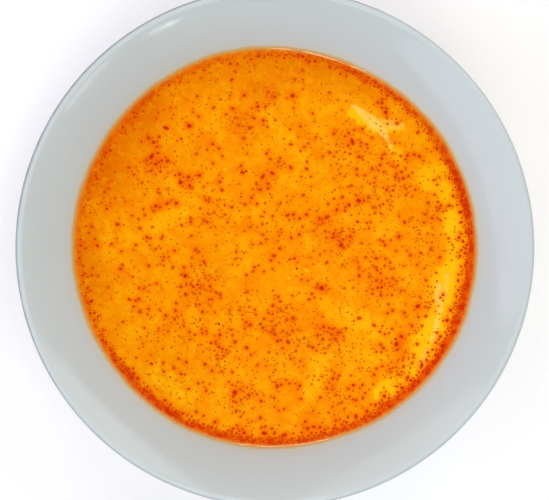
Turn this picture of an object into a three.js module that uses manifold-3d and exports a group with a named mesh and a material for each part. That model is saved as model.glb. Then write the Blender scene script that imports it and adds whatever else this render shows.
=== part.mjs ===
// A round, flared soup bowl on a foot ring, filled with tripe soup.
// Millimetres, +Z up. The origin is the centre of the plane that the foot ring stands on.
import * as THREE from 'three';
import { mergeGeometries, mergeVertices } from 'three/addons/utils/BufferGeometryUtils.js';
import Module from 'manifold-3d';

// ---- The bowl ----
const RIM_RADIUS = 100;
const BOWL_HEIGHT = 56;
const LIP_RADIUS = 1.9; // the lip is round, and as thick as the wall below it
const RIM_SLOPE = 38; // degrees above the horizontal, where the wall meets the lip
const WALL_THICKNESS = 4; // at the soup's level
const FLOOR_RADIUS = 36; // the flat middle of the floor
const FLOOR_HEIGHT = 8.5;
const FOOT_RADIUS = 46;
const FOOT_HEIGHT = 4.2;
const FOOT_WIDTH = 5;
const FOOT_EDGE = 0.7; // the bevel on both edges of the foot ring
const FOOT_SPLAY = 1.5; // how far the ring's inner side leans out towards the recess
const RECESS_DEPTH = 3;
const UNDERSIDE_SLOPE = 14; // degrees, where the wall's underside leaves the foot ring

// ---- The soup ----
const SOUP_LEVEL = 38;
const SOUP_RADIUS = 80.5; // the bowl's inner radius at that level
const LEVEL_SLOPE = 56; // degrees, the wall's slope at that level
const WALL_GAP = 0.3; // between the soup and the glaze
const MENISCUS_RISE = 0.7;
const MENISCUS_REACH = 2.6;
const MENISCUS_FOOT = SOUP_RADIUS - MENISCUS_REACH;
const MENISCUS_SAG = 0.3; // share of the rise that is left half way down
const SWELL_HEIGHT = 0.22;
const SWELL_LENGTH = 14;
const RIDGE_HEIGHT = 0.4;
const CALM_RADIUS = 73; // the skin's relief fades out from here to the meniscus

// Strips of tripe that lie just under the skin: half their width, then points along the middle of each.
const TRIPE_STRIPS = [
  { halfWidth: 4.5, path: [[29, 59], [38, 51], [44, 40]] },
  { halfWidth: 3.5, path: [[41, 48], [49, 51]] },
  { halfWidth: 4, path: [[65, 27], [71, 8], [71, -14], [65, -33]] },
];

// ---- Drops of chilli oil and flakes of pepper that stand out of the skin ----
const DROP_COUNT = 180;
const DROP_SIDES = 6;
const DROP_ROOT = 0.7; // how far a drop's side runs down into the soup
const DROP_HEIGHT = 0.45; // of the largest ones, above the skin
const SHOULDER_RADIUS = 0.72; // share of a drop's radius at the edge of its cap
const SHOULDER_HEIGHT = 0.7; // share of its height there
const LARGEST_DROP = 1.1;
const SMALLEST_DROP = 0.58;
const DROP_SPACING = 0.3; // clear skin between two drops
const FLAKE_EVERY = 6; // each sixth piece is a long flake
const FLAKE_STRETCH = 1.7;
const RING_SHARE = 0.4; // of the drops lie in the oily ring near the wall
const RING_RADIUS = 75.4;
const RING_WIDTH = 2.8;
const RING_MIDDLE = -45; // degrees from +X, where the ring is densest
const RING_SPREAD = 125; // degrees to each side
const CLUSTER_SHARE = 0.35; // of the other drops lie beside an earlier one
const CLUSTER_REACH = 5;
const OPEN_RADIUS = 72;

// The drops and flakes that stand out most: x, y, radius, times as long as wide, heading in degrees.
const BIG_FLAKES = [
  [-35, 48.8, 1, 1, 0], [-44.3, 47.9, 0.7, 2.3, -17], [-50, 36.4, 0.8, 2.1, 65],
  [6.7, 61.2, 0.9, 1, 0], [44.7, 54.8, 0.9, 1, 0], [31, 42.7, 0.8, 2.1, -70],
  [-38.5, 26, 0.9, 1.2, 40], [33.5, 18.8, 1, 1, 0], [73.2, 27.6, 1.1, 1, 0],
  [26.3, 0.8, 1, 1, 0], [18.4, -16.6, 1.1, 1.1, 0], [-36.5, -11.6, 0.9, 1, 0],
  [67.5, -40, 1.3, 1, 0], [48.7, -39.2, 1, 1.1, 90], [-16.5, -58.4, 1.1, 1, 0],
  [57.5, -24, 0.9, 1.3, 30],
];

// ---- How finely the faces are cut ----
const ROUND_SEGMENTS = 72;
const WALL_STEPS = 4;
const FLARE_STEPS = 3;
const LIP_STEPS = 4;
const SKIN_RINGS = 9;
const SKIN_CROWDING = 1.25; // above 1 brings the rings closer together near the wall

// ---- The seeded draw, a linear congruential generator ----
const DRAW_SEED = 5;
const DRAW_FACTOR = 1664525;
const DRAW_STEP = 1013904223;
const DRAW_RANGE = 2 ** 32;

const wasm = await Module();
wasm.setup();

const radians = THREE.MathUtils.degToRad;

// ---- Helpers for profiles, which hold (radius, height) points ----

// The curve that leaves one point and reaches another at given slopes above the horizontal.
function bend(start, startSlope, end, endSlope) {
  const startRise = Math.tan(radians(startSlope));
  const endRise = Math.tan(radians(endSlope));
  const drop = end.y - start.y + startRise * start.x - endRise * end.x;
  const radius = drop / (startRise - endRise);
  const corner = new THREE.Vector2(radius, start.y + startRise * (radius - start.x));
  return new THREE.QuadraticBezierCurve(start, corner, end);
}

// The point square off a slope: outwards and down by a positive distance.
function offSlope(point, slope, distance) {
  const right = distance * Math.sin(radians(slope));
  const down = distance * Math.cos(radians(slope));
  return new THREE.Vector2(point.x + right, point.y - down);
}

// Turns a profile round the Z axis.
function turned(profile, segments) {
  return new THREE.LatheGeometry(profile, segments).rotateX(Math.PI / 2);
}

// ---- Solids, joined by manifold-3d ----

function solidFrom(geometry) {
  const bare = geometry.clone();
  bare.deleteAttribute('normal');
  bare.deleteAttribute('uv');
  const merged = mergeVertices(bare);
  const vertProperties = new Float32Array(merged.attributes.position.array);
  const triVerts = new Uint32Array(merged.index.array);
  return new wasm.Manifold(new wasm.Mesh({ numProp: 3, vertProperties, triVerts }));
}

function geometryFrom(solid) {
  const mesh = solid.getMesh();
  const geometry = new THREE.BufferGeometry();
  geometry.setAttribute('position', new THREE.BufferAttribute(mesh.vertProperties, 3));
  geometry.setIndex(new THREE.BufferAttribute(mesh.triVerts, 1));
  geometry.computeVertexNormals();
  return geometry;
}

// ---- The bowl's curves ----

const lipCentre = new THREE.Vector2(RIM_RADIUS - LIP_RADIUS, BOWL_HEIGHT - LIP_RADIUS);
const lipInside = offSlope(lipCentre, RIM_SLOPE, -LIP_RADIUS);
const lipOutside = offSlope(lipCentre, RIM_SLOPE, LIP_RADIUS);
const levelInside = new THREE.Vector2(SOUP_RADIUS, SOUP_LEVEL);
const levelOutside = offSlope(levelInside, LEVEL_SLOPE, WALL_THICKNESS);
const floorEdge = new THREE.Vector2(FLOOR_RADIUS, FLOOR_HEIGHT);
const footTop = new THREE.Vector2(FOOT_RADIUS, FOOT_HEIGHT);

const innerWell = bend(floorEdge, 0, levelInside, LEVEL_SLOPE);
const innerFlare = bend(levelInside, LEVEL_SLOPE, lipInside, RIM_SLOPE);
const outerWell = bend(footTop, UNDERSIDE_SLOPE, levelOutside, LEVEL_SLOPE);
const outerFlare = bend(levelOutside, LEVEL_SLOPE, lipOutside, RIM_SLOPE);
const lip = new THREE.EllipseCurve(
  lipCentre.x, lipCentre.y, LIP_RADIUS, LIP_RADIUS, radians(RIM_SLOPE - 90), radians(RIM_SLOPE + 90),
);

function bowlGeometry() {
  const ringInside = FOOT_RADIUS - FOOT_WIDTH;
  const profile = [
    new THREE.Vector2(0, RECESS_DEPTH),
    new THREE.Vector2(ringInside - FOOT_SPLAY, RECESS_DEPTH),
    new THREE.Vector2(ringInside, FOOT_EDGE),
    new THREE.Vector2(ringInside + FOOT_EDGE, 0),
    new THREE.Vector2(FOOT_RADIUS - FOOT_EDGE, 0),
    new THREE.Vector2(FOOT_RADIUS, FOOT_EDGE),
    ...outerWell.getPoints(WALL_STEPS),
    ...outerFlare.getPoints(FLARE_STEPS).slice(1),
    ...lip.getPoints(LIP_STEPS).slice(1),
    ...innerFlare.getPoints(FLARE_STEPS).reverse().slice(1),
    ...innerWell.getPoints(WALL_STEPS).reverse().slice(1),
    new THREE.Vector2(0, FLOOR_HEIGHT),
  ];
  return turned(profile, ROUND_SEGMENTS);
}

// ---- The soup's skin ----

// How far a point lies from the middle line of a strip.
function distanceToPath(x, y, path) {
  const point = new THREE.Vector3(x, y, 0);
  const nearest = new THREE.Vector3();
  const gaps = path.slice(1).map((end, index) => {
    const line = new THREE.Line3(new THREE.Vector3(...path[index], 0), new THREE.Vector3(...end, 0));
    return line.closestPointToPoint(point, true, nearest).distanceTo(point);
  });
  return Math.min(...gaps);
}

// How high the skin stands above the soup's level: slow swells, and a low ridge over each strip.
function skinHeight(x, y) {
  const across = x / SWELL_LENGTH;
  const along = y / SWELL_LENGTH;
  const swell = SWELL_HEIGHT * Math.sin(across + Math.sin(along)) * Math.cos(along);
  const ridges = TRIPE_STRIPS.map(({ halfWidth, path }) => {
    const share = Math.min(1, distanceToPath(x, y, path) / halfWidth);
    return RIDGE_HEIGHT * (1 + Math.cos(Math.PI * share)) / 2;
  });
  const calm = THREE.MathUtils.smoothstep(Math.hypot(x, y), CALM_RADIUS, MENISCUS_FOOT);
  return (swell + Math.max(...ridges)) * (1 - calm);
}

// The soup without its drops: it fills the bowl up to its level and climbs a little at the wall.
function soupCoreGeometry() {
  const side = innerWell.getPoints(WALL_STEPS).map((point, index) => {
    const tangent = innerWell.getTangent(index / WALL_STEPS);
    return new THREE.Vector2(point.x - WALL_GAP * tangent.y, point.y + WALL_GAP * tangent.x);
  });
  const climb = MENISCUS_RISE / Math.tan(radians(LEVEL_SLOPE));
  const edgeRadius = SOUP_RADIUS + climb - WALL_GAP / Math.sin(radians(LEVEL_SLOPE));
  const skin = [];
  for (let ring = 0; ring <= SKIN_RINGS; ring += 1) {
    const radius = MENISCUS_FOOT * (1 - (ring / SKIN_RINGS) ** SKIN_CROWDING);
    skin.push(new THREE.Vector2(radius, SOUP_LEVEL));
  }
  const profile = [
    new THREE.Vector2(0, FLOOR_HEIGHT + WALL_GAP),
    ...side.slice(0, -1),
    new THREE.Vector2(edgeRadius, SOUP_LEVEL + MENISCUS_RISE),
    new THREE.Vector2((edgeRadius + MENISCUS_FOOT) / 2, SOUP_LEVEL + MENISCUS_SAG * MENISCUS_RISE),
    ...skin,
  ];
  const geometry = turned(profile, ROUND_SEGMENTS);
  const position = geometry.attributes.position;
  const skinStart = profile.length - skin.length;
  for (let index = 0; index < position.count; index += 1) {
    if (index % profile.length >= skinStart) {
      const height = skinHeight(position.getX(index), position.getY(index));
      position.setZ(index, SOUP_LEVEL + height);
    }
  }
  return geometry;
}

// ---- The drops ----

let drawState = DRAW_SEED;

// The next seeded number from 0 up to 1.
function draw() {
  drawState = (Math.imul(drawState, DRAW_FACTOR) + DRAW_STEP) >>> 0;
  return drawState / DRAW_RANGE;
}

function drawInRing() {
  const angle = radians(RING_MIDDLE + RING_SPREAD * (draw() + draw() - 1));
  const radius = RING_RADIUS + RING_WIDTH * (draw() - 0.5);
  return [radius * Math.cos(angle), radius * Math.sin(angle)];
}

function drawInOpen() {
  const angle = 2 * Math.PI * draw();
  const radius = OPEN_RADIUS * Math.sqrt(draw());
  return [radius * Math.cos(angle), radius * Math.sin(angle)];
}

function drawBeside(earlier) {
  const angle = 2 * Math.PI * draw();
  const reach = CLUSTER_REACH * (1 + draw()) / 2;
  return [earlier.x + reach * Math.cos(angle), earlier.y + reach * Math.sin(angle)];
}

function drawPlace(drops) {
  if (draw() < RING_SHARE) {
    return drawInRing();
  }
  if (draw() < CLUSTER_SHARE) {
    return drawBeside(drops[Math.floor(draw() * drops.length)]);
  }
  return drawInOpen();
}

// The named flakes first, then drops of falling size wherever they have room.
function scatterDrops() {
  const drops = BIG_FLAKES.map(([x, y, radius, stretch, heading]) => {
    return { x, y, radius, stretch, heading: radians(heading) };
  });
  while (drops.length < DROP_COUNT) {
    const [x, y] = drawPlace(drops);
    const left = 1 - drops.length / DROP_COUNT;
    const radius = SMALLEST_DROP + (LARGEST_DROP - SMALLEST_DROP) * left * left;
    const stretch = drops.length % FLAKE_EVERY === 0 ? FLAKE_STRETCH : 1;
    const heading = Math.PI * draw();
    const reach = radius * stretch + DROP_SPACING;
    const fits = Math.hypot(x, y) + reach < MENISCUS_FOOT;
    const clear = drops.every((other) => {
      return Math.hypot(x - other.x, y - other.y) > reach + other.radius * other.stretch;
    });
    if (fits && clear) {
      drops.push({ x, y, radius, stretch, heading });
    }
  }
  return drops;
}

// A low dome whose side runs down into the soup.
function dropGeometry({ x, y, radius, stretch, heading }) {
  const height = DROP_HEIGHT * Math.min(1, radius / LARGEST_DROP);
  const profile = [
    new THREE.Vector2(0, -DROP_ROOT),
    new THREE.Vector2(radius, -DROP_ROOT),
    new THREE.Vector2(radius * SHOULDER_RADIUS, height * SHOULDER_HEIGHT),
    new THREE.Vector2(0, height),
  ];
  return turned(profile, DROP_SIDES)
    .scale(stretch, 1, 1)
    .rotateZ(heading)
    .translate(x, y, SOUP_LEVEL + skinHeight(x, y));
}

function soupGeometry() {
  const core = solidFrom(soupCoreGeometry());
  const drops = solidFrom(mergeGeometries(scatterDrops().map(dropGeometry)));
  return geometryFrom(core.add(drops));
}

// ---- The object ----

function part(name, geometry, color, roughness) {
  const mesh = new THREE.Mesh(geometry, new THREE.MeshStandardMaterial({ color, roughness, metalness: 0 }));
  mesh.name = name;
  return mesh;
}

const bowlOfSoup = new THREE.Group();
bowlOfSoup.add(part('bowl', bowlGeometry(), 0xd6dadd, 0.12));
bowlOfSoup.add(part('soup', soupGeometry(), 0xfb9206, 0.25));

export default bowlOfSoup;
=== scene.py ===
import math
from functools import partial
from itertools import product

import bpy
import numpy as np
from mathutils import Matrix, Vector

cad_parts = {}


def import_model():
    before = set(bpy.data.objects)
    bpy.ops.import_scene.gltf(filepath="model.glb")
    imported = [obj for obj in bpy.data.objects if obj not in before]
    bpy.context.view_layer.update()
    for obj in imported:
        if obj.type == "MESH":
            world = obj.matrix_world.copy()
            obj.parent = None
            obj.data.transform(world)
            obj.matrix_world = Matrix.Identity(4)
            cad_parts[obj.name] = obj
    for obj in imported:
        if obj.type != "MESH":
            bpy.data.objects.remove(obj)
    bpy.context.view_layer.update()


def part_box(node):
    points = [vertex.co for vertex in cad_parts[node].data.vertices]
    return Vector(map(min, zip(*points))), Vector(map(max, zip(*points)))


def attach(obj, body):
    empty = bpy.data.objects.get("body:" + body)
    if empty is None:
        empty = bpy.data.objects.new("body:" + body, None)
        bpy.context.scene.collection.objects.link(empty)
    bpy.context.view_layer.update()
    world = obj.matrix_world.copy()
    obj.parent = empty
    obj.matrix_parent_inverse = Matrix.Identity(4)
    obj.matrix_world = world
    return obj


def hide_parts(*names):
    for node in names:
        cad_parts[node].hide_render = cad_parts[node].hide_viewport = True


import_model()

# A bowl of tripe soup: glazed stoneware, orange soup, drops of chilli oil and specks of pepper.
# Lengths are millimetres, angles degrees and colours sRGB bytes, unless a name says otherwise.
MM = 0.001
BODY = "root"
SEED = 11

# ---- The bowl, as its solid has it ----
BOWL_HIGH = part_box("bowl")[1]
RIM_RADIUS = BOWL_HIGH.x / MM
BOWL_HEIGHT = BOWL_HIGH.z / MM
LIP_RADIUS = 1.9
RIM_SLOPE = 38
WALL_THICKNESS = 4
FLOOR_RADIUS = 36
FLOOR_HEIGHT = 8.5
FOOT_RADIUS = 46
FOOT_HEIGHT = 4.2
FOOT_WIDTH = 5
FOOT_EDGE = 0.7
FOOT_SPLAY = 1.5
RECESS_DEPTH = 3
UNDERSIDE_SLOPE = 14
RECESS_ROWS = (0.2, 0.45, 0.7, 0.9)  # shares of its radius
FOOT_INSIDE_SLOPES = (-1, -75)  # of the ring's inner side, at its top and foot
FOOT_INSIDE_START = 185  # the direction, on its foot's bevel, where that side ends
FOOT_OUTSIDE_ROWS = (0.6, 0.9)  # shares of its height
FLOOR_ROWS = (0.75, 0.5, 0.2)  # shares of its radius

# ---- The bowl's look ----
BARE_HEIGHT = 0.42  # the foot ring has no glaze below this
RIM_LINE = 1.7  # width of the band of painted shade round the rim's edge
RIM_LINE_EDGE = 0.3  # how far inside the rim it is darkest
RIM_LINE_DARKEST = 155  # the direction in which it shows most
RIM_LINE_FAINTEST = 0.2  # its strength in the opposite direction
RIM_LINE_FOCUS = 1.5  # above 1 keeps it nearer to its darkest direction

# ---- The soup, as its solid has it ----
SOUP_LEVEL = 38
SOUP_RADIUS = 80.5
LEVEL_SLOPE = 56
WALL_GAP = 0.3
MENISCUS_RISE = 0.7
MENISCUS_REACH = 2.6
MENISCUS_FOOT = SOUP_RADIUS - MENISCUS_REACH
SWELL_HEIGHT = 0.22
SWELL_LENGTH = 14
RIDGE_HEIGHT = 0.4
CALM_RADIUS = 73  # the skin's relief fades out from here to the meniscus

# Strips of tripe just under the skin: half their width, then points along the middle of each.
TRIPE_STRIPS = [
    (4.5, [(29, 59), (38, 51), (44, 40)]),
    (3.5, [(41, 48), (49, 51)]),
    (4, [(65, 27), (71, 8), (71, -14), (65, -33)]),
]

# ---- The large drops and flakes, as they stand on the solid ----
DROP_COUNT = 180
DROP_HEIGHT = 0.45
LARGEST_DROP = 1.1
SMALLEST_DROP = 0.58
DROP_SPACING = 0.3
FLAKE_EVERY = 6
FLAKE_STRETCH = 1.7
RING_SHARE = 0.4
RING_RADIUS = 75.4
RING_WIDTH = 2.8
RING_MIDDLE = -45
RING_SPREAD = 125
CLUSTER_SHARE = 0.35
CLUSTER_REACH = 5
OPEN_RADIUS = 72
DRAW_SEED = 5
DRAW_FACTOR = 1664525
DRAW_STEP = 1013904223
DRAW_RANGE = 2**32

# The drops and flakes that stand out most: x, y, radius, times as long as wide, heading.
BIG_FLAKES = [
    (-35, 48.8, 1, 1, 0), (-44.3, 47.9, 0.7, 2.3, -17), (-50, 36.4, 0.8, 2.1, 65),
    (6.7, 61.2, 0.9, 1, 0), (44.7, 54.8, 0.9, 1, 0), (31, 42.7, 0.8, 2.1, -70),
    (-38.5, 26, 0.9, 1.2, 40), (33.5, 18.8, 1, 1, 0), (73.2, 27.6, 1.1, 1, 0),
    (26.3, 0.8, 1, 1, 0), (18.4, -16.6, 1.1, 1.1, 0), (-36.5, -11.6, 0.9, 1, 0),
    (67.5, -40, 1.3, 1, 0), (48.7, -39.2, 1, 1.1, 90), (-16.5, -58.4, 1.1, 1, 0),
    (57.5, -24, 0.9, 1.3, 30),
]

# ---- The soup's edge ----
# Waves round the bowl are (count, height, phase).
LEAN_WAVES = [(2, 0.55, 2.2), (3, 0.25, 1.8), (5, 0.2, 4.9)]
LEAN_SHIFT = -0.15
LEAN_START = 60  # the radius from which the skin leans towards the wall
EDGE_WAVES = [(11, 0.08, 0.2), (19, 0.07, 2.9), (37, 0.06, 1.1), (61, 0.04, 4.0)]
EDGE_OVERLAP = 0.12  # how far the skin runs into the glaze, so that no gap shows
WET_ROWS = 3  # outermost rows of the skin, where clear broth climbs the wall
WET_ARCS = [(62, 97), (-106, -72)]  # the directions, from and to, in which it shines
FILM_WIDTH = 1.7  # of the thin broth that lets the wall show through

# ---- Drops and crumbs that only the picture model has ----
# Radii are (smallest, largest). Gap is the clear skin round each, and below 0 they may run together.
# Stretch is how many times as long as wide they get, and limit the radius that none reaches past.
DROP_LIMIT = 79.6
RING_DROPS = {"count": 520, "radii": (0.3, 0.75), "gap": 0.05}
SMALL_DROPS = {"count": 1260, "radii": (0.34, 0.78), "gap": -0.2, "stretch": 1.5}
SPECKS = {"count": 2150, "radii": (0.21, 0.42), "gap": 0.02, "stretch": 1.6}
CRUMBS = {"count": 30, "radii": (0.3, 0.8), "gap": 0.2, "stretch": 2.2, "limit": 76}
SMALL_SHARES = (0.42, 0.53, 0.05)  # in the open, in crowds, and beside a large drop
SPECK_SHARES = (0.62, 0.28, 0.1)  # in the open, in crowds, and in the ring near the wall
SCATTER_RADIUS = 79
CROWD_SPREAD = 0.6  # of a crowd's reach
OUTER_RING_RADIUS = 77.6
OUTER_RING_SPREAD = 0.9
BESIDE_COUNT = 60  # how many of the largest drops have small ones beside them
BESIDE_GAP = 0.4
BESIDE_REACH = 0.6

# Patches where small red drops crowd together, first tight knots and then wide ones: x, y, reach.
CROWDS = [
    (-45, -4, 2), (-32, -17, 2.5), (35, 20, 2.5), (30, 43, 2), (57, -32, 3), (1, 33, 2.5), (21, -57, 3),
    (18, -16, 2), (-9, -59, 2.5), (67, 15, 3), (62, -24, 3), (48, -16, 3), (19, 10, 2), (53, 24, 3),
    (48, -51, 3), (-3, -31, 2.5), (-16, 50, 2.5), (24, -36, 3), (70, -2, 3), (-2, 61, 2), (44, 54, 2),
    (37, 40, 2), (-50, 36, 2),
    (-12, -27, 8), (2, -27, 7), (6, -39, 8), (22, -38, 7), (-38, -30, 8), (-24, -42, 7), (-30, -14, 6),
    (28, 2, 7), (42, -12, 8), (60, 2, 10), (62, -20, 8), (50, -46, 9), (27, -60, 7), (-14, -60, 6),
    (46, 34, 9), (30, 42, 8), (-14, 52, 7), (-50, 32, 6), (0, 12, 10), (-24, 14, 6), (44, 20, 8),
]
# Strips that few drops lie on: half the width, then points along the middle.
BARE_STRIPS = [(3.6, [(71, -6), (68, -20), (61, -40)]), (3, [(32, 56), (40, 50), (46, 49)])]
BARE_SHARE = 0.7  # share of the drops that such a strip turns away

DARK_SPECKS = [(-22.9, -31), (-31.5, -15.1), (-6.3, -31), (48.4, -37.2), (-12, 30.6), (8.4, -8.7)]
DARK_SPECK_RADIUS = 0.42
DARK_SPECK_STRETCH = 1.3
DARK_SPECK_HEADING = 0.5  # radians

LARGE_HEAT_SPREAD = 0.5  # how much less than the strongest a large drop may colour the soup round it
RING_TINT_SPREAD = 0.6  # how far the ring's drops go towards the weakest tint

# ---- How a drop is shaped ----
DROP_SEEN = 0.84  # share of a large drop's radius that stands out of the skin
OUTLINE_LOBES = [(2, 0.16), (3, 0.13), (5, 0.1)]  # count, and the most that they change the radius
DOME_ROW_POWER = 0.7  # below 1 puts more of the dome's rows near its edge
ROOT_WIDTH = 1.15  # of the radius, where the drop's side ends under the skin
ROOT_DEPTH = 0.8  # of the height

# ---- Colour that lies in the soup's skin ----
# Direction, then how dark the oily ring is there, from 0 to 1.
RING_STRENGTH = [
    (-180, 0.3), (-155, 0.4), (-140, 0.85), (-122, 1), (-100, 0.85), (-75, 0.8), (-55, 1), (-10, 1),
    (22, 0.95), (42, 0.6), (62, 0.65), (78, 0.5), (100, 0.35), (130, 0.45), (155, 0.3), (180, 0.3),
]
RING_WAVES = [(9, 0.3, 1.2), (21, 0.3, 0.3), (43, 0.3, 2.2), (67, 0.25, 0.7), (113, 0.2, 2.9)]
RING_DEPTH = 3.6  # how far the ring reaches in from the wall
RING_GROWTH = 0.6  # how much further where it is darkest
RING_FADE = 1.3

HAZE_STRENGTH = 3.2  # of the red haze round a drop of 1 mm radius
HAZE_GROWTH = 1.2  # the power of the radius that its strength follows
HAZE_MARGIN = 0.6  # how far it spreads past the drop
HAZE_LIMIT = 6  # it is too faint to count past this distance
CROWD_HAZE = 1.2
CROWD_HAZE_MARGIN = 0.5
HAZE_MOST = 0.85

# Pale stretches: half the width, strength, then points along the middle.
PALE_STRETCHES = [
    (2.8, 0.75, [(31, 54.5), (35, 51), (39, 47.5)]),
    (3, 0.55, [(43, 48), (51, 48)]),
    (4, 0.6, [(48, 39), (50, 36)]),
    (7, 0.55, [(61, 28), (67, 24), (72, 13)]),
    (5, 0.85, [(71, 13), (73, 4), (72.5, -6), (69.5, -14)]),
    (7, 1, [(69, -14), (66.5, -28), (60.5, -40)]),
    (4.5, 0.9, [(58, -46), (51, -52.5), (43, -59)]),
    (7, 0.45, [(26, -26), (42, -34)]),
    (7, 0.5, [(14, -57), (19, -46)]),
    (8, 0.3, [(-6, -62), (-2, -70)]),
    (9, 0.4, [(24, -42), (42, -44)]),
    (8, 0.45, [(-48, -50), (-36, -60)]),
    (6, 0.35, [(-60, -36), (-48, -30)]),
    (6, 0.4, [(-49, 9), (-36, 14)]),
    (7, 0.4, [(-5, 54), (3, 46), (12, 34)]),
    (7, 0.4, [(22, 42), (32, 36)]),
    (5, 0.35, [(34, 8), (40, 6)]),
]
# Stretches of painted shade near the wall at the upper left, top and left, where the wall shades the soup,
# in the same form.
SHADED_STRETCHES = [
    (10, 1.3, [(-73, 26), (-64, 42), (-50, 58)]),
    (7, 0.85, [(-50, 58), (-36, 67), (-15, 74), (20, 73)]),
    (5, 0.8, [(-9, 65), (-1, 63)]),
    (6, 0.6, [(20, 73), (40, 63)]),
    (6, 0.7, [(-75, 22), (-76, 0), (-73, -18)]),
]
# Strips of tripe that nearly reach the skin: strength, then points with half the width at each.
CREAM_STRIPS = [
    (0.8, [(31, 57.3, 0.8), (34.4, 54.9, 1.6), (39.7, 50.4, 2.8), (42.5, 48, 2.5), (44.6, 45.2, 1.4)]),
    (0.75, [(44.6, 45.2, 1.4), (46.4, 41.5, 1), (47.3, 38.5, 0.6)]),
    (0.55, [(42, 50.2, 2.6), (46.5, 49.9, 2.5), (50.8, 49, 1.9)]),
    (0.6, [(69.5, -11, 1), (69, -16, 1.3), (68.5, -21, 1)]),
    (0.8, [(66, -15, 1.2), (65.8, -20, 2), (66.3, -25.5, 1.4)]),
    (0.65, [(66, -25, 1.2), (65.2, -31, 1.6), (63, -38, 1.3)]),
    (0.65, [(61.5, -41, 1.2), (58.5, -47, 1.6)]),
]
CREAM_CORE = 0.4  # shares of a strip's half width where its colour starts to fade and has faded
CREAM_END = 1.5

# ---- Colours ----
GLAZE = (194, 202, 204)
LIGHT_GLAZE = (199, 206, 208)
GLAZE_SPECK = (150, 140, 128)
# Painted shade along the rim's edge, darkest towards RIM_LINE_DARKEST, where the lip's outer side lies in
# shade.
RIM_EDGE_SHADE = (124, 128, 130)
# Painted bounce light: the soup's colour cast on the wall just above it.
PAINTED_SOUP_BOUNCE = (210, 202, 118)
BROTH_ON_GLAZE = (214, 164, 86)
CLAY = (196, 184, 166)
LIGHT_CLAY = (214, 204, 188)
SOUP = (241, 132, 1)
LIGHT_SOUP = (243, 154, 3)
CREAMY_SOUP = (243, 168, 8)
# Deeper orange of the random patches, also used for the painted shade near the wall.
DEEP_AND_SHADED_SOUP = (220, 107, 1)
LIGHT_CURD = (243, 164, 8)
DARK_CURD = (236, 118, 1)
PALE_SOUP = (247, 182, 12)
TRIPE = (238, 200, 84)
RED_HAZE = (232, 78, 1)
OILY_RING = (222, 82, 3)
RING_BLOT = (202, 40, 1)
BROTH_FILM = (210, 160, 78)
DUST = (176, 84, 0)
PALE_FLOOR = (251, 248, 250)
LIGHT_FLOOR = (253, 250, 252)
# Drops and flakes: the middle, the edge, and the weakest of their tints.
OIL_TONES = [(186, 32, 0), (216, 76, 1), (214, 88, 1)]
SMALL_OIL_TONES = [(188, 44, 0), (222, 96, 2), (218, 104, 1)]
PEPPER_TONES = [(176, 68, 0), (216, 100, 0), (224, 114, 0)]
DARK_PEPPER_TONES = [(96, 12, 2), (140, 36, 4), (140, 36, 4)]
CRUMB_TONES = [(242, 176, 30), (242, 160, 14), (242, 150, 6)]
# The tints of reflections.
SOUP_SHEEN = (255, 170, 60)
BROTH_SHEEN = (255, 244, 226)
DROP_SHEEN = (255, 150, 60)

# ---- How finely the meshes are cut ----
BOWL_SEGMENTS = 256
SOUP_SEGMENTS = 512
INNER_WELL_STEPS = 28
OUTER_WELL_STEPS = 24
FLARE_STEPS = 14
LIP_STEPS = 24
FOOT_SIDE_STEPS = 5
FOOT_EDGE_STEPS = 4
CALM_ROWS = 88
CALM_ROW_POWER = 0.97  # below 1 brings these rows closer together towards the wall
CLIMB_ROWS = 9
SIDE_SKIP = 4  # the soup's hidden side has one row for this many of the wall's
SIDE_DROP = 0.5  # its first row lies this far below the soup's level
# Sides and rows of a dome.
LARGE_DOME = (16, 4)
SMALL_DOME = (12, 3)
CRUMB_DOME = (12, 2)
SPECK_DOME = (8, 2)

# ---- UV layout, in shares of the square ----
UV_MARGIN = 0.02
SKIN_UV_SPAN = 2.06  # width of the square in soup radii
DROP_UV_SPAN = 2.1
HIDDEN_UV_START = 0.01
SIDE_UV_SIZE = 0.1
UNDERSIDE_UV_SIZE = 0.02

# ---- The picture ----
CAMERA_PLACE = (-13, -8, 400)
CAMERA_AIM = (-1.2, -1.55, 56)
LENS = 58.93
SENSOR = 36
CLIP_START_M = 0.01
FLOOR_HALF = 6000
LIGHT_DISTANCE = 1100
# Name, direction from +X, rise above the floor, width, height, strength in watts, colour.
LIGHTS = [
    ("window", 200, 30, 1600, 800, 7.5, (0.71, 0.81, 1)),
    ("key", 306, 70, 800, 800, 4.2, (1, 1, 0.9)),
    ("right_fill", 46, 38, 800, 800, 4.6, (0.9, 0.96, 1)),
    ("back_fill", 118, 38, 800, 800, 2.65, (1, 0.83, 0.74)),
    ("low_fill", 285, 12, 800, 800, 0.6, (0.9, 1, 0.93)),
    ("glint", -99, 58, 760, 160, 2.2, (1, 0.98, 0.92)),
    ("back_glint", 90, 58, 500, 110, 0.8, (1, 0.95, 0.88)),
    ("streak_low", -37, 33, 260, 40, 0.36, (0.95, 0.98, 1)),
    ("streak_high", -60, 31.5, 140, 45, 0.22, (0.95, 0.98, 1)),
]
UNREFLECTED_LIGHT = "key"  # its wide reflection would veil the soup
SKY_COLOUR = (1, 1, 1, 1)
SKY_STRENGTH = 0.12


# ======== Arithmetic ========

def radians(angle):
    return angle * math.pi / 180


def smoothstep(value, low, high):
    share = np.clip((value - low) / (high - low), 0, 1)
    return share * share * (3 - 2 * share)


def linear(colour):
    """An sRGB colour in bytes as the linear RGBA that shaders take, by the standard's own curve."""
    share = np.array(colour, float) / 255
    parts = np.where(share <= 0.04045, share / 12.92, ((share + 0.055) / 1.055) ** 2.4)
    return (*parts.tolist(), 1.0)


def waviness(angle, waves):
    """A sum of sines round the bowl, from (count, height, phase) waves."""
    return sum(height * np.sin(count * angle + phase) for count, height, phase in waves)


def spokes(segments):
    """Evenly spaced directions in radians."""
    return 2 * np.pi * np.arange(segments) / segments


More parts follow.
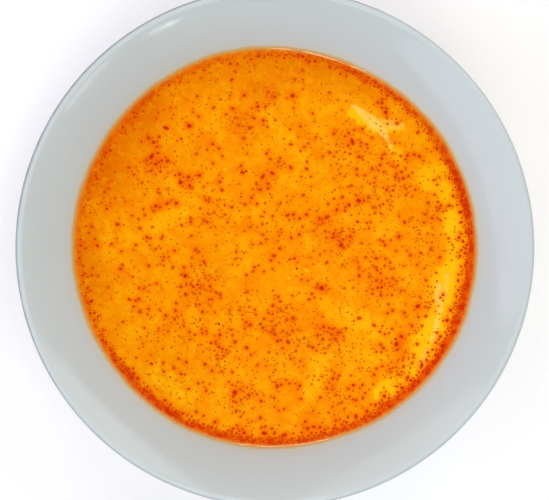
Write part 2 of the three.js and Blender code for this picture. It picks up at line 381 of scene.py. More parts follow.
def gap_to_line(x, y, start, end):
    """How far points lie from a straight line, and where along it the nearest place is, from 0 to 1."""
    run_x, run_y = end[0] - start[0], end[1] - start[1]
    share = np.clip(((x - start[0]) * run_x + (y - start[1]) * run_y) / (run_x**2 + run_y**2), 0, 1)
    return np.hypot(x - start[0] - share * run_x, y - start[1] - share * run_y), share


def distance_to_path(x, y, path):
    """How far points lie from the middle line of a strip."""
    gaps = [gap_to_line(x, y, start, end)[0] for start, end in zip(path, path[1:])]
    return np.min(gaps, axis=0)


# ======== Profiles: arrays of (radius, height) ========

def bend(start, start_slope, end, end_slope, steps):
    """Points on the curve that leaves start and reaches end at given slopes above the horizontal."""
    start_rise = math.tan(radians(start_slope))
    end_rise = math.tan(radians(end_slope))
    drop = end[1] - start[1] + start_rise * start[0] - end_rise * end[0]
    radius = drop / (start_rise - end_rise)
    corner = np.array([radius, start[1] + start_rise * (radius - start[0])])
    share = np.linspace(0, 1, steps + 1)[:, None]
    return (1 - share) ** 2 * np.array(start) + 2 * share * (1 - share) * corner + share**2 * np.array(end)


def off_slope(point, slope, distance):
    """The point square off a slope: outwards and down by a positive distance."""
    right = distance * math.sin(radians(slope))
    down = distance * math.cos(radians(slope))
    return point[0] + right, point[1] - down


def arc(middle, radius, start, end, steps):
    angles = np.radians(np.linspace(start, end, steps + 1))
    return np.stack([middle[0] + radius * np.cos(angles), middle[1] + radius * np.sin(angles)], axis=1)


LIP_MIDDLE = (RIM_RADIUS - LIP_RADIUS, BOWL_HEIGHT - LIP_RADIUS)
LIP_INSIDE = off_slope(LIP_MIDDLE, RIM_SLOPE, -LIP_RADIUS)
LIP_OUTSIDE = off_slope(LIP_MIDDLE, RIM_SLOPE, LIP_RADIUS)
LEVEL_INSIDE = (SOUP_RADIUS, SOUP_LEVEL)
LEVEL_OUTSIDE = off_slope(LEVEL_INSIDE, LEVEL_SLOPE, WALL_THICKNESS)
FLOOR_EDGE = (FLOOR_RADIUS, FLOOR_HEIGHT)
FOOT_TOP = (FOOT_RADIUS, FOOT_HEIGHT)
INNER_WELL = bend(FLOOR_EDGE, 0, LEVEL_INSIDE, LEVEL_SLOPE, INNER_WELL_STEPS)
INNER_FLARE = bend(LEVEL_INSIDE, LEVEL_SLOPE, LIP_INSIDE, RIM_SLOPE, FLARE_STEPS)
OUTER_WELL = bend(FOOT_TOP, UNDERSIDE_SLOPE, LEVEL_OUTSIDE, LEVEL_SLOPE, OUTER_WELL_STEPS)
OUTER_FLARE = bend(LEVEL_OUTSIDE, LEVEL_SLOPE, LIP_OUTSIDE, RIM_SLOPE, FLARE_STEPS)
INNER_WALL = np.concatenate([INNER_WELL, INNER_FLARE[1:]])


def wall_radius(height):
    """The bowl's inner radius at a height."""
    return np.interp(height, INNER_WALL[:, 1], INNER_WALL[:, 0])


# ======== Meshes ========

def mesh_piece(name, points, faces, uv=None, values=None):
    """A smooth mesh object from millimetre points, with one UV pair for each face corner and
    named numbers for each point."""
    mesh = bpy.data.meshes.new(name)
    mesh.from_pydata((np.asarray(points) * MM).tolist(), [], faces)
    mesh.polygons.foreach_set("use_smooth", [True] * len(mesh.polygons))
    if uv is not None:
        layer = mesh.uv_layers.new(name="OFBake")
        layer.data.foreach_set("uv", np.asarray(uv, np.float32).ravel())
    for label, numbers in (values or {}).items():
        attribute = mesh.attributes.new(label, "FLOAT", "POINT")
        attribute.data.foreach_set("value", np.asarray(numbers, np.float32).ravel())
    mesh.update()
    piece = bpy.data.objects.new(name, mesh)
    bpy.context.scene.collection.objects.link(piece)
    return piece


def turned_points(profile, angles):
    """A profile turned round the Z axis, as an array [ring, spoke, xyz]."""
    radius = profile[:, :1]
    height = np.repeat(profile[:, 1:], len(angles), axis=1)
    return np.stack([radius * np.cos(angles), radius * np.sin(angles), height], axis=2)


def turned_faces(rings, segments):
    """Quads between neighbouring rings of points, then a fan to a pole before the first ring and one
    after the last. The poles are the last two points. Also gives each corner's ring and spoke."""
    ring, spoke = np.meshgrid(np.arange(rings - 1), np.arange(segments), indexing="ij")
    ring, spoke = ring.ravel(), spoke.ravel()
    quad_rings = np.stack([ring, ring, ring + 1, ring + 1], axis=1)
    quad_spokes = np.stack([spoke, spoke + 1, spoke + 1, spoke], axis=1)
    quads = quad_rings * segments + quad_spokes % segments
    around = np.arange(segments)
    onward = (around + 1) % segments
    last_row = (rings - 1) * segments
    first_pole = np.full(segments, rings * segments)
    first_fan = np.stack([first_pole, onward, around], axis=1)
    last_fan = np.stack([last_row + around, last_row + onward, first_pole + 1], axis=1)
    first_spokes = np.stack([around + 0.5, around + 1, around], axis=1)
    last_spokes = first_spokes[:, ::-1]
    corner_rings = np.concatenate([
        quad_rings.ravel(),
        np.tile([-1, 0, 0], segments),
        np.tile([rings - 1, rings - 1, rings], segments),
    ])
    corner_spokes = np.concatenate([quad_spokes.ravel(), first_spokes.ravel(), last_spokes.ravel()])
    faces = quads.tolist() + first_fan.tolist() + last_fan.tolist()
    return faces, corner_rings, corner_spokes


def corner_slices(faces):
    """Where each face's corners stand in a list of all corners."""
    ends = np.cumsum([len(face) for face in faces])
    return [slice(end - len(face), end) for face, end in zip(faces, ends)]


def flipped(faces, *corner_values):
    """The same faces seen from their other side, and the values of their corners in the new order."""
    numbers = np.arange(len(corner_values[0]))
    order = np.concatenate([numbers[corners][::-1] for corners in corner_slices(faces)])
    return [face[::-1] for face in faces], *(values[order] for values in corner_values)


def over_faces(rule, faces, corner_values):
    """A rule, such as min, over the values of each face's corners, given back for each corner."""
    results = [rule(corner_values[corners]) for corners in corner_slices(faces)]
    return np.repeat(results, [len(face) for face in faces])


# ======== Materials ========

class Paint:
    """One material in the making: nodes that lead to the principled shader."""

    def __init__(self, name):
        self.material = bpy.data.materials.new(name)
        self.material.use_nodes = True
        self.tree = self.material.node_tree
        self.shader = self.tree.nodes["Principled BSDF"]
        self.where = self.node("ShaderNodeTexCoord", {}).outputs["Object"]

    def feed(self, socket, value):
        """Links an output to a socket, or sets the socket to a number or colour."""
        if isinstance(value, bpy.types.NodeSocket):
            self.tree.links.new(value, socket)
        else:
            socket.default_value = value

    def node(self, kind, inputs, **settings):
        node = self.tree.nodes.new(kind)
        for key, value in settings.items():
            setattr(node, key, value)
        for key, value in inputs.items():
            self.feed(node.inputs[key], value)
        return node

    def number(self, label):
        """One of the named numbers that the mesh holds for each point."""
        return self.node("ShaderNodeAttribute", {}, attribute_name=label).outputs["Fac"]

    def grain(self, size, detail=2.0, roughness=0.5, distortion=0.0):
        """Noise from 0 to 1 whose blotches are about as wide as size."""
        inputs = {
            "Vector": self.where, "Scale": 1 / (size * MM), "Detail": detail,
            "Roughness": roughness, "Distortion": distortion,
        }
        return self.node("ShaderNodeTexNoise", inputs).outputs["Fac"]

    def calc(self, operation, first, second, clamp=False):
        inputs = {0: first, 1: second}
        return self.node("ShaderNodeMath", inputs, operation=operation, use_clamp=clamp).outputs[0]

    def ramp(self, value, over, to=(0.0, 1.0)):
        """A soft step: as value goes over the first range, the result goes over the second."""
        inputs = {
            "Value": value, "From Min": over[0], "From Max": over[1], "To Min": to[0], "To Max": to[1],
        }
        return self.node("ShaderNodeMapRange", inputs, interpolation_type="SMOOTHSTEP").outputs["Result"]

    def blend(self, share, first, second):
        """Two colours mixed by a share, each an output or sRGB bytes."""
        inputs = {0: share}
        for key, colour in ((6, first), (7, second)):
            inputs[key] = colour if isinstance(colour, bpy.types.NodeSocket) else linear(colour)
        return self.node("ShaderNodeMix", inputs, data_type="RGBA").outputs[2]

    def finish(self, colour, roughness, shine, sheen=None):
        """Sets the surface's colour, its roughness, and the strength and tint of its reflections."""
        self.feed(self.shader.inputs["Base Color"], colour)
        self.feed(self.shader.inputs["Roughness"], roughness)
        self.shader.inputs["Specular IOR Level"].default_value = shine
        if sheen:
            self.shader.inputs["Specular Tint"].default_value = linear(sheen)

    def bump(self, height, depth, strength):
        inputs = {"Height": height, "Distance": depth * MM, "Strength": strength}
        self.feed(self.shader.inputs["Normal"], self.node("ShaderNodeBump", inputs).outputs["Normal"])


def glaze_colour(paint):
    """Pale grey-white glaze with faint specks, and painted shade along the rim's edge."""
    colour = paint.blend(paint.grain(40, detail=3), GLAZE, LIGHT_GLAZE)
    specks = paint.ramp(paint.grain(1.1, detail=1), over=(0.76, 0.8), to=(0, 0.18))
    colour = paint.blend(specks, colour, GLAZE_SPECK)
    # Painted shade round the rim's edge, made uneven by noise.
    uneven = paint.ramp(paint.grain(6), over=(0.2, 0.7), to=(0.7, 1))
    return paint.blend(paint.calc("MULTIPLY", paint.number("edge"), uneven), colour, RIM_EDGE_SHADE)


def soup_bounce_and_film(paint, colour):
    """Painted bounce light from the soup on the wall above it, and a film of broth at its edge."""
    above = paint.number("above")
    # Painted bounce light from the soup, fading out 4.5 mm above its edge.
    colour = paint.blend(paint.ramp(above, over=(0, 4.5), to=(0.25, 0)), colour, PAINTED_SOUP_BOUNCE)
    wet = paint.calc("MULTIPLY", paint.grain(2.2, detail=3), 0.8)
    film = paint.ramp(paint.calc("SUBTRACT", above, wet), over=(-0.4, 1.0), to=(0.85, 0))
    return paint.blend(film, colour, BROTH_ON_GLAZE)


def glaze_material():
    """The bowl's glaze, and the bare clay of its foot."""
    paint = Paint("stoneware_glaze")
    glaze = soup_bounce_and_film(paint, glaze_colour(paint))
    clay = paint.blend(paint.grain(0.8, detail=4), CLAY, LIGHT_CLAY)
    bare = paint.number("bare")
    smear = paint.ramp(paint.grain(18, detail=3), over=(0.3, 0.75), to=(0.11, 0.18))
    roughness = paint.calc("ADD", smear, paint.ramp(bare, over=(0, 1), to=(0, 0.6)))
    paint.finish(paint.blend(bare, glaze, clay), roughness, shine=0.35)
    paint.bump(paint.grain(9), depth=0.08, strength=0.5)
    return paint.material


def broth_colour(paint):
    """Orange soup: mottled, creamier and deeper in patches, darker with painted shade near the wall at the
    upper left, top and left, and faintly curdled.
    """
    mottle = paint.ramp(paint.grain(9, detail=4, roughness=0.55, distortion=0.5), over=(0.3, 0.7))
    colour = paint.blend(mottle, SOUP, LIGHT_SOUP)
    creamy = paint.ramp(paint.grain(13, detail=3, distortion=0.7), over=(0.5, 0.68), to=(0, 0.55))
    colour = paint.blend(creamy, colour, CREAMY_SOUP)
    patches = paint.ramp(paint.grain(30, detail=3), over=(0.3, 0.7), to=(-0.15, 0.25))
    # The named stretches add painted shade where the wall shades the soup; the patches are the soup's own
    # tone.
    deep_and_shaded = paint.calc("ADD", patches, paint.calc("MULTIPLY", paint.number("deep_and_shaded"), 0.75), clamp=True)
    colour = paint.blend(deep_and_shaded, colour, DEEP_AND_SHADED_SOUP)
    curd = paint.ramp(paint.grain(2.6, detail=3, roughness=0.6), over=(0.3, 0.7), to=(-0.36, 0.36))
    colour = paint.blend(paint.calc("MAXIMUM", curd, 0), colour, LIGHT_CURD)
    return paint.blend(paint.calc("MAXIMUM", paint.calc("MULTIPLY", curd, -1), 0), colour, DARK_CURD)


def tripe_under(paint, colour, fray):
    """Paler in stretches, and creamy, with shredded edges, where a strip of tripe nearly reaches the skin.
    """
    pale = paint.calc("ADD", paint.number("pale"), paint.calc("MULTIPLY", fray, 0.6))
    colour = paint.blend(paint.ramp(pale, over=(0.5, 1)), colour, PALE_SOUP)
    shreds = paint.grain(2, detail=5, roughness=0.6, distortion=1.5)
    cream = paint.calc("ADD", paint.number("cream"), paint.calc("MULTIPLY", shreds, 1.3))
    return paint.blend(paint.ramp(cream, over=(0.9, 1.55), to=(0, 0.9)), colour, TRIPE)


def oil_in(paint, colour, fray):
    """Red haze round the drops, and the blotchy, oily ring near the wall."""
    haze = paint.calc("MULTIPLY", paint.number("haze"), paint.ramp(fray, over=(0.2, 0.7), to=(0.6, 1)))
    colour = paint.blend(haze, colour, RED_HAZE)
    ring = paint.number("ring")
    colour = paint.blend(ring, colour, OILY_RING)
    blots = paint.ramp(paint.grain(2.2, detail=3), over=(0.42, 0.62))
    return paint.blend(paint.calc("MULTIPLY", ring, blots), colour, RING_BLOT)


def dust_on(paint, colour):
    """Faint dots of spice too fine to have a shape, in some of the cells of a pattern."""
    cells = paint.node("ShaderNodeTexVoronoi", {"Vector": paint.where, "Scale": 1 / (1.7 * MM)})
    dots = paint.ramp(cells.outputs["Distance"], over=(0.08, 0.2), to=(0.7, 0))
    chosen = paint.ramp(cells.outputs["Color"], over=(0.4, 0.6))
    return paint.blend(paint.calc("MULTIPLY", dots, chosen), colour, DUST)


def soup_material(name, roughness, shine, sheen):
    """Wet orange soup: paler in stretches, creamy over the tripe, darker with painted shade near the wall,
    redder near oil, and ochre where it meets the wall.
    """
    paint = Paint(name)
    fray = paint.grain(2.5, detail=4, distortion=0.6)
    colour = tripe_under(paint, broth_colour(paint), fray)
    colour = oil_in(paint, colour, fray)
    colour = paint.blend(paint.number("film"), colour, BROTH_FILM)
    paint.finish(dust_on(paint, colour), roughness, shine, sheen)
    paint.bump(paint.grain(1.6), depth=0.03, strength=0.35)
    return paint.material


def drop_material(name, tones, roughness):
    """Drops and flakes: darkest in the middle, and each with its own tint between strong and weak."""
    middle, edge, weakest = tones
    paint = Paint(name)
    colour = paint.blend(paint.ramp(paint.number("rim"), over=(0.3, 0.95)), middle, edge)
    colour = paint.blend(paint.calc("MULTIPLY", paint.number("tint"), 0.8), colour, weakest)
    flecks = paint.ramp(paint.grain(0.35), over=(0.45, 0.7), to=(0, 0.3))
    paint.finish(paint.blend(flecks, colour, middle), roughness, shine=0.2, sheen=DROP_SHEEN)
    paint.bump(paint.grain(0.5, detail=1), depth=0.02, strength=0.4)
    return paint.material


def floor_material():
    paint = Paint("pale_floor")
    paint.finish(paint.blend(paint.grain(300), PALE_FLOOR, LIGHT_FLOOR), roughness=0.9, shine=0.1)
    return paint.material


# ======== The bowl ========

def bowl_profile():
    """From the middle of the recess under the bowl, out over the rim, and in to the floor's middle."""
    ring_inside = FOOT_RADIUS - FOOT_WIDTH
    side_top, side_foot = (ring_inside - FOOT_SPLAY, RECESS_DEPTH), (ring_inside, FOOT_EDGE)
    top_slope, foot_slope = FOOT_INSIDE_SLOPES
    return np.concatenate([
        [(ring_inside * share, RECESS_DEPTH) for share in RECESS_ROWS],
        bend(side_top, top_slope, side_foot, foot_slope, FOOT_SIDE_STEPS),
        arc((ring_inside + FOOT_EDGE, FOOT_EDGE), FOOT_EDGE, FOOT_INSIDE_START, 270, FOOT_EDGE_STEPS),
        arc((FOOT_RADIUS - FOOT_EDGE, FOOT_EDGE), FOOT_EDGE, 270, 360, FOOT_EDGE_STEPS),
        [(FOOT_RADIUS, FOOT_HEIGHT * share) for share in FOOT_OUTSIDE_ROWS],
        OUTER_WELL,
        OUTER_FLARE[1:],
        arc(LIP_MIDDLE, LIP_RADIUS, RIM_SLOPE - 90, RIM_SLOPE + 90, LIP_STEPS)[1:],
        INNER_FLARE[::-1][1:],
        INNER_WELL[::-1][1:],
        [(FLOOR_RADIUS * share, FLOOR_HEIGHT) for share in FLOOR_ROWS],
    ])


def bowl_uv(profile, corner_rings, corner_spokes):
    """Once round the bowl from left to right, and along its profile from bottom to top."""
    lengths = np.concatenate([[0], np.cumsum(np.hypot(*np.diff(profile, axis=0).T))])
    along = UV_MARGIN + (1 - 2 * UV_MARGIN) * lengths / lengths[-1]
    rings = np.arange(-1, len(profile) + 1)
    upwards = np.interp(corner_rings, rings, np.concatenate([[0], along, [1]]))
    return np.stack([corner_spokes / BOWL_SEGMENTS, upwards], axis=1)


def bowl_values(profile, angles):
    """Numbers that the glaze reads: height above the soup's edge, bare clay and painted shade along the
    rim's edge.
    """
    inside = (np.arange(len(profile)) > np.argmax(profile[:, 1]))[:, None]
    radius, height = profile[:, :1], profile[:, 1:]
    above = np.where(inside, height - contact_height(angles), BOWL_HEIGHT)
    bare = np.repeat((height < BARE_HEIGHT) & ~inside, len(angles))
    # Painted shade along the rim's edge: strongest towards RIM_LINE_DARKEST, where the lip's outer side is
    # in shade.
    facing = (1 + np.cos(angles - radians(RIM_LINE_DARKEST))) / 2
    line = smoothstep(radius, RIM_RADIUS - RIM_LINE, RIM_RADIUS - RIM_LINE_EDGE)
    edge = line * (RIM_LINE_FAINTEST + (1 - RIM_LINE_FAINTEST) * facing**RIM_LINE_FOCUS)
    return {
        "above": np.append(above, [BOWL_HEIGHT, 0]),
        "bare": np.append(bare, [0, 0]),
        "edge": np.append(edge, [0, 0]),
    }


def bowl_piece():
    profile = bowl_profile()
    angles = spokes(BOWL_SEGMENTS)
    poles = [(0, 0, RECESS_DEPTH), (0, 0, FLOOR_HEIGHT)]
    points = np.concatenate([turned_points(profile, angles).reshape(-1, 3), poles])
    faces, corner_rings, corner_spokes = turned_faces(len(profile), BOWL_SEGMENTS)
    uv = bowl_uv(profile, corner_rings, corner_spokes)
    piece = mesh_piece("glazed_bowl", points, faces, uv, bowl_values(profile, angles))
    piece.data.materials.append(glaze_material())
    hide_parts("bowl")
    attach(piece, BODY)


# ======== The soup's skin ========

def lean(angle):
    """How much the soup stands higher or lower near the wall, from its last swing."""
    return waviness(angle, LEAN_WAVES) + LEAN_SHIFT


def contact_height(angle):
    """Where the soup's edge stands on the wall, a little uneven all round."""
    return SOUP_LEVEL + lean(angle) + MENISCUS_RISE + waviness(angle, EDGE_WAVES)


def skin_height(x, y):
    """The height of the soup's skin: slow swells, ridges over the tripe, and the climb at the wall."""
    across, along = x / SWELL_LENGTH, y / SWELL_LENGTH
    swell = SWELL_HEIGHT * np.sin(across + np.sin(along)) * np.cos(along)
    ridge = np.zeros(np.shape(x))
    for half_width, path in TRIPE_STRIPS:
        share = np.minimum(1, distance_to_path(x, y, path) / half_width)
        ridge = np.maximum(ridge, RIDGE_HEIGHT * (1 + np.cos(np.pi * share)) / 2)
    radius, angle = np.hypot(x, y), np.arctan2(y, x)
    calm = smoothstep(radius, CALM_RADIUS, MENISCUS_FOOT)
    level = SOUP_LEVEL + lean(angle) * smoothstep(radius, LEAN_START, MENISCUS_FOOT)
    contact = contact_height(angle)
    climb = np.clip((radius - MENISCUS_FOOT) / (wall_radius(contact) - MENISCUS_FOOT), 0, None)
    return level + (swell + ridge) * (1 - calm) + (contact - level) * climb**2


# ======== Where the drops lie ========

class Draw:
    """The seeded draw that the solids use."""

    def __init__(self, seed):
        self.state = seed

    def __call__(self):
        self.state = (self.state * DRAW_FACTOR + DRAW_STEP) % DRAW_RANGE
        return self.state / DRAW_RANGE


def on_circle(radius, angle):
    return radius * math.cos(angle), radius * math.sin(angle)


def large_drops():
    """The drops and flakes that stand on the solid, drawn by its own rule."""
    draw = Draw(DRAW_SEED)
    drops = [(x, y, radius, stretch, radians(heading)) for x, y, radius, stretch, heading in BIG_FLAKES]

    def drawn_place():
        if draw() < RING_SHARE:
            angle = radians(RING_MIDDLE + RING_SPREAD * (draw() + draw() - 1))
            return on_circle(RING_RADIUS + RING_WIDTH * (draw() - 0.5), angle)
        if draw() < CLUSTER_SHARE:
            earlier = drops[math.floor(draw() * len(drops))]
            angle = 2 * math.pi * draw()
            across, up = on_circle(CLUSTER_REACH * (1 + draw()) / 2, angle)
            return earlier[0] + across, earlier[1] + up
        angle = 2 * math.pi * draw()
        return on_circle(OPEN_RADIUS * math.sqrt(draw()), angle)

    while len(drops) < DROP_COUNT:
        x, y = drawn_place()
        left = 1 - len(drops) / DROP_COUNT
        radius = SMALLEST_DROP + (LARGEST_DROP - SMALLEST_DROP) * left * left
        stretch = FLAKE_STRETCH if len(drops) % FLAKE_EVERY == 0 else 1
        heading = math.pi * draw()
        reach = radius * stretch + DROP_SPACING
        fits = math.hypot(x, y) + reach < MENISCUS_FOOT
        clear = all(math.hypot(x - other[0], y - other[1]) > reach + other[2] * other[3] for other in drops)
        if fits and clear:
            drops.append((x, y, radius, stretch, heading))
    return np.array(drops)


class Room:
    """Remembers which places on the soup are taken, in square cells."""

    CELL = 3.0

    def __init__(self):
        self.cells = {}

    def cell(self, x, y):
        return math.floor(x / self.CELL), math.floor(y / self.CELL)

    def take(self, x, y, reach):
        self.cells.setdefault(self.cell(x, y), []).append((x, y, reach))

    def is_free(self, x, y, reach):
        column, row = self.cell(x, y)
        for cell in product((column - 1, column, column + 1), (row - 1, row, row + 1)):
            for other_x, other_y, other_reach in self.cells.get(cell, ()):
                if math.hypot(x - other_x, y - other_y) < reach + other_reach:
                    return False
        return True


def ring_strength(angle):
    """How dark the oily ring is in a direction in radians."""
    directions, strengths = zip(*RING_STRENGTH)
    return np.interp(np.degrees(angle), directions, strengths)


def place_in_open(random):
    radius = SCATTER_RADIUS * math.sqrt(random.random())
    return on_circle(radius, 2 * math.pi * random.random())


def place_in_crowd(random):
    """In one of the patches, each drawn as often as its reach is wide."""
    reaches = np.cumsum([reach for x, y, reach in CROWDS])
    x, y, reach = CROWDS[np.searchsorted(reaches, random.random() * reaches[-1])]
    return x + reach * random.normal() * CROWD_SPREAD, y + reach * random.normal() * CROWD_SPREAD


def place_beside(random, drops):
    """Just outside one of some larger drops."""
    x, y, radius = drops[random.integers(len(drops))][:3]
    angle = 2 * math.pi * random.random()
    across, up = on_circle(radius + BESIDE_GAP + BESIDE_REACH * random.random(), angle)
    return x + across, y + up


def place_in_ring(random):
    """Close to the wall, more often where the oily ring is darker."""
    angle = math.pi * (2 * random.random() - 1)
    radius = OUTER_RING_RADIUS + OUTER_RING_SPREAD * random.normal()
    while random.random() > ring_strength(angle) ** 2:
        angle = math.pi * (2 * random.random() - 1)
    return on_circle(radius, angle)


def on_bare_strip(x, y):
    return any(distance_to_path(x, y, path) < half_width for half_width, path in BARE_STRIPS)


def scatter(random, room, rules, shares, count, radii, gap, stretch=1.0, limit=DROP_LIMIT):
    """Draws drops that have room, as rows of x, y, radius, stretch and heading. Each rule places its
    share of them."""
    ends = np.cumsum(shares)
    smallest, largest = radii
    drops = []
    while len(drops) < count:
        rule = rules[np.searchsorted(ends, random.random() * ends[-1])]
        x, y = rule(random)
        radius = smallest + (largest - smallest) * random.random() ** 2
        length = 1 + (stretch - 1) * random.random() ** 2
        heading = math.pi * random.random()
        reach = radius * length
        turned_away = on_bare_strip(x, y) and random.random() < BARE_SHARE
        if not turned_away and math.hypot(x, y) + reach < limit and room.is_free(x, y, reach + gap):
            room.take(x, y, reach)
            drops.append((x, y, radius, length, heading))
    return np.array(drops)


# ======== Drops as low domes ========

def drop_outlines(count, angles, random):
    """Uneven round outlines, one for each drop, as shares of its radius."""
    lobes, most = np.array(OUTLINE_LOBES).T
    phase = 2 * np.pi * random.random((count, len(lobes), 1))
    depth = most[:, None] * random.random((count, len(lobes), 1))
    return 1 + (depth * np.sin(lobes[:, None] * angles + phase)).sum(axis=1)


def dome_points(drops, sides, rows, heights, random):
    """The points of one low dome for each drop, sunk into the skin, as an array [drop, point, xyz],
    with each point's share of the way from the middle to the edge."""
    count = len(drops)
    angles = spokes(sides)
    outline = drop_outlines(count, angles, random)
    widths = np.linspace(1, 0, rows + 1)[:-1] ** DOME_ROW_POWER
    rises = np.concatenate([[-ROOT_DEPTH], 1 - widths**2])
    widths = np.concatenate([[ROOT_WIDTH], widths])
    flat = (outline[:, None, :] * widths[None, :, None]).reshape(count, -1)
    turn = np.tile(angles, len(widths))
    middle_x, middle_y, radius, length, heading = np.split(drops, 5, axis=1)
    poles = np.zeros((count, 2))
    local_x = np.concatenate([radius * length * flat * np.cos(turn), poles], axis=1)
    local_y = np.concatenate([radius * flat * np.sin(turn), poles], axis=1)
    x = middle_x + local_x * np.cos(heading) - local_y * np.sin(heading)
    y = middle_y + local_x * np.sin(heading) + local_y * np.cos(heading)
    rise = np.concatenate([np.repeat(rises, sides), [-ROOT_DEPTH, 1]])
    z = skin_height(x, y) + rise * heights[:, None]
    rim = np.concatenate([np.repeat(widths, sides), [1, 0]])
    return np.stack([x, y, z], axis=2), np.tile(np.clip(rim, 0, 1), (count, 1))


def drop_uv(points, faces, corner_rings, corner_spokes):
    """The drops as seen from above, and all their hidden undersides in a corner of the square."""
    flat = np.concatenate(faces)
    under = over_faces(min, faces, corner_rings)[:, None] < 0
    tucked = HIDDEN_UV_START + UNDERSIDE_UV_SIZE * (corner_spokes[:, None] % 2)
    above = 0.5 + points[:, flat, :2] / (DROP_UV_SPAN * SOUP_RADIUS)
    return np.where(under, tucked, above).reshape(-1, 2)


def drop_piece(name, drops, dome, tints, material, random):
    """One mesh of many domes."""
    sides, rows = dome
    heights = DROP_HEIGHT * np.minimum(1, drops[:, 2] / LARGEST_DROP)
    points, rim = dome_points(drops, sides, rows, heights, random)
    faces, corner_rings, corner_spokes = turned_faces(rows + 1, sides)
    uv = drop_uv(points, faces, corner_rings, corner_spokes)
    per_drop = points.shape[1]
    starts = range(0, per_drop * len(drops), per_drop)
    all_faces = [[index + start for index in face] for start in starts for face in faces]
    values = {"rim": rim, "tint": np.repeat(tints, per_drop)}
    piece = mesh_piece(name, points.reshape(-1, 3), all_faces, uv, values)
    piece.data.materials.append(material)
    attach(piece, BODY)
    return piece


# ======== The soup ========

def skin_rings(angles):
    """The soup's skin in rings from the middle out to the wall."""
    calm = MENISCUS_FOOT * np.linspace(0, 1, CALM_ROWS + 1)[1:, None] ** CALM_ROW_POWER
    climb = np.linspace(0, 1, CLIMB_ROWS + 1)[1:, None]
    edge = wall_radius(contact_height(angles)) + EDGE_OVERLAP
    radius = np.concatenate([
        np.repeat(calm, len(angles), axis=1),
        MENISCUS_FOOT + (edge - MENISCUS_FOOT) * climb,
    ])
    x, y = radius * np.cos(angles), radius * np.sin(angles)
    return np.stack([x, y, skin_height(x, y)], axis=2)


def side_rings(angles):
    """The soup's hidden side in rings down to the floor, a small gap inside the glaze."""
    slope = np.gradient(INNER_WELL, axis=0)[::-SIDE_SKIP]
    slope /= np.hypot(slope[:, :1], slope[:, 1:])
    side = INNER_WELL[::-SIDE_SKIP] + WALL_GAP * np.stack([-slope[:, 1], slope[:, 0]], axis=1)
    return turned_points(side[side[:, 1] < SOUP_LEVEL - SIDE_DROP], angles)


def soup_uv(points, faces, corner_rings, corner_spokes, skin_rows):
    """The skin as seen from above, and the hidden side in a corner of the square."""
    flat = np.concatenate(faces)
    hidden = over_faces(max, faces, corner_rings)[:, None] >= skin_rows
    side_rows = corner_rings.max() - skin_rows
    tucked = np.stack([corner_spokes / SOUP_SEGMENTS, (corner_rings - skin_rows) / side_rows], axis=1)
    above = 0.5 + points[flat, :2] / (SKIN_UV_SPAN * SOUP_RADIUS)
    return np.where(hidden, HIDDEN_UV_START + SIDE_UV_SIZE * np.clip(tucked, 0, 1), above)


def stretch_values(x, y, stretches):
    """How strongly each point belongs to the nearest of some stretches."""
    value = np.zeros(len(x))
    for half_width, strength, path in stretches:
        gap = distance_to_path(x, y, path)
        value = np.maximum(value, strength * np.exp(-((gap / half_width) ** 2)))
    return value


def strip_values(x, y, strips):
    """The same for strips that taper, with a firmer edge."""
    value = np.zeros(len(x))
    for strength, path in strips:
        for start, end in zip(path, path[1:]):
            gap, share = gap_to_line(x, y, start, end)
            half_width = start[2] + share * (end[2] - start[2])
            value = np.maximum(value, strength * (1 - smoothstep(gap / half_width, CREAM_CORE, CREAM_END)))
    return value


def haze_values(x, y, drops, heats):
    """The red haze round hot drops and over crowds of them."""
    haze = np.zeros(len(x))
    for (drop_x, drop_y, radius), heat in zip(drops[:, :3], heats):
        near = (np.abs(x - drop_x) < HAZE_LIMIT) & (np.abs(y - drop_y) < HAZE_LIMIT)
        gap = np.hypot(x[near] - drop_x, y[near] - drop_y)
        strength = HAZE_STRENGTH * radius**HAZE_GROWTH * heat
        haze[near] += strength * np.exp(-((gap / (HAZE_MARGIN + radius)) ** 2))
    for middle_x, middle_y, reach in CROWDS:
        gap = np.hypot(x - middle_x, y - middle_y)
        haze += CROWD_HAZE / (CROWD_HAZE_MARGIN + reach) * np.exp(-((gap / reach) ** 2))
    return HAZE_MOST * (1 - np.exp(-haze))


def soup_values(x, y, drops, heats):
    """Numbers that the soup's material reads for each point."""
    radius, angle = np.hypot(x, y), np.arctan2(y, x)
    edge = wall_radius(contact_height(angle))
    strength = ring_strength(angle)
    inner = edge - RING_DEPTH - RING_GROWTH * strength + waviness(angle, RING_WAVES)
    return {
        "pale": stretch_values(x, y, PALE_STRETCHES),
        "cream": strip_values(x, y, CREAM_STRIPS),
        # painted shade near the wall at the upper left, top and left
        "deep_and_shaded": stretch_values(x, y, SHADED_STRETCHES),
        "haze": haze_values(x, y, drops, heats),
        "ring": strength * smoothstep(radius, inner, inner + RING_FADE),
        "film": np.clip(1 + (radius - edge) / FILM_WIDTH, 0, 1) ** 2,
    }


def wet_faces(angles, skin_rows, rows):
    """For each of the soup's faces, 1 in the outermost rows of the skin where they shine, or else 0."""
    row = np.arange(rows - 1)
    outermost = (row >= skin_rows - 1 - WET_ROWS) & (row < skin_rows - 1)
    heading = (np.degrees(angles) + 180) % 360 - 180
    shining = np.any([(heading > start) & (heading < end) for start, end in WET_ARCS], axis=0)
    quads = outermost[:, None] & shining
    return np.concatenate([quads.ravel(), np.zeros(2 * len(angles))]).astype(np.int32)


